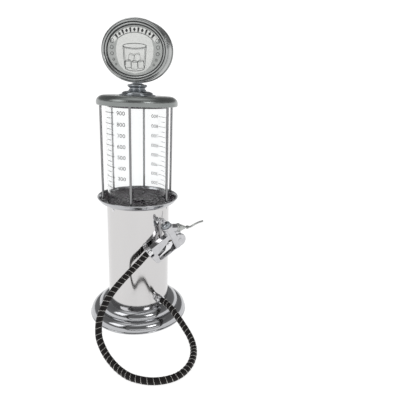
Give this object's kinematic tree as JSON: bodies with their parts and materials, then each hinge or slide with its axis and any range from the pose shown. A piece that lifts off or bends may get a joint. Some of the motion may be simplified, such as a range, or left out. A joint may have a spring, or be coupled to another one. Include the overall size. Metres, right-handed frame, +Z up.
{
  "type": "drinks dispenser",
  "caption": "Table-top drinks dispenser shaped like an old visible petrol pump, with a clear reservoir, a hose and a trigger gun on a peg.",
  "frame": {"origin": "centre of the face that rests on the table", "axes": "+Z up along the pedestal's axis, -Y towards the front of the sign"},
  "size_m": [0.2106, 0.2541, 0.461],
  "materials": {
    "chrome": "polished",
    "rod_steel": "satin",
    "plate_steel": "satin",
    "lid_metal": "brushed",
    "dark_chrome": "polished",
    "black_rubber": "matt",
    "clear_tube": "clear",
    "seal_white": "matt",
    "floor_plastic": "gloss",
    "inner_plastic": "matt",
    "brass": "satin",
    "sign_face": "satin",
    "cone_metal": "satin"
  },
  "bodies": {
    "root": {"foot_pad": "black_rubber", "base_shell": "chrome", "base_plate": "plate_steel", "base_screws": "plate_steel", "pedestal_foot": "plate_steel", "pedestal_tube": "chrome", "pedestal_screws": "chrome", "reservoir_dish": "chrome", "reservoir_floor": "floor_plastic", "floor_seal": "black_rubber", "tank_base_seal": "seal_white", "drain_fitting": "floor_plastic", "drain_washer": "black_rubber", "drain_nut": "brass", "inner_tube": "inner_plastic", "outlet_fitting": "chrome", "outlet_nut": "chrome", "outlet_ferrule": "chrome", "hose": "black_rubber", "reservoir_tube": "clear_tube", "tie_rods": "rod_steel", "rod_nuts": "chrome", "crown_ring": "plate_steel", "hanger_peg": "chrome", "hanger_nut": "chrome"},
    "lid": {"lid_cap": "lid_metal", "lid_plug": "floor_plastic", "lid_gasket": "seal_white", "finial_foot": "dark_chrome", "neck_spool": "dark_chrome", "neck_bolt": "rod_steel", "sign_housing": "chrome", "sign_bezel_front": "chrome", "sign_bezel_back": "chrome", "sign_face_front": "sign_face", "sign_face_back": "sign_face", "sign_emblem": "sign_face"},
    "gun": {"gun_body": "chrome", "gun_ferrule": "chrome", "hose_barb": "brass", "valve_seat": "brass", "valve_cap": "chrome", "cap_seal": "black_rubber", "hang_ring": "chrome", "spout_cone": "cone_metal", "spout_nut": "cone_metal", "spout_tube": "cone_metal", "trigger_pin": "chrome", "valve_spring": "rod_steel"},
    "trigger": {"trigger": "chrome"},
    "valve": {"plunger": "brass", "valve_washer": "black_rubber"}
  },
  "joints": [
    {"name": "lid_lift", "type": "slide", "parent": "root", "child": "lid", "axis": [0, 0, 1], "range_m": [0, 0.06]},
    {"name": "gun_unhook", "type": "slide", "parent": "root", "child": "gun", "axis": [0.828, -0.4975, 0.2588], "range_m": [0, 0.03]},
    {"name": "trigger_squeeze", "type": "hinge", "parent": "gun", "child": "trigger", "pos_m": [0.05807, -0.02514, 0.13713], "axis": [-0.7431, 0.6691, 0], "range_deg": [0, 8], "stiffness_Nm_per_rad": 0.02, "springref_deg": -2.86},
    {"name": "valve_pull", "type": "slide", "parent": "gun", "child": "valve", "axis": [0.3244, 0.3603, -0.8746], "range_m": [0, 0.0018], "deforming": ["valve_spring"]}
  ],
  "couplings": [
    {"joint": "valve_pull", "follows": "trigger_squeeze", "m_per_rad": 0.012}
  ]
}
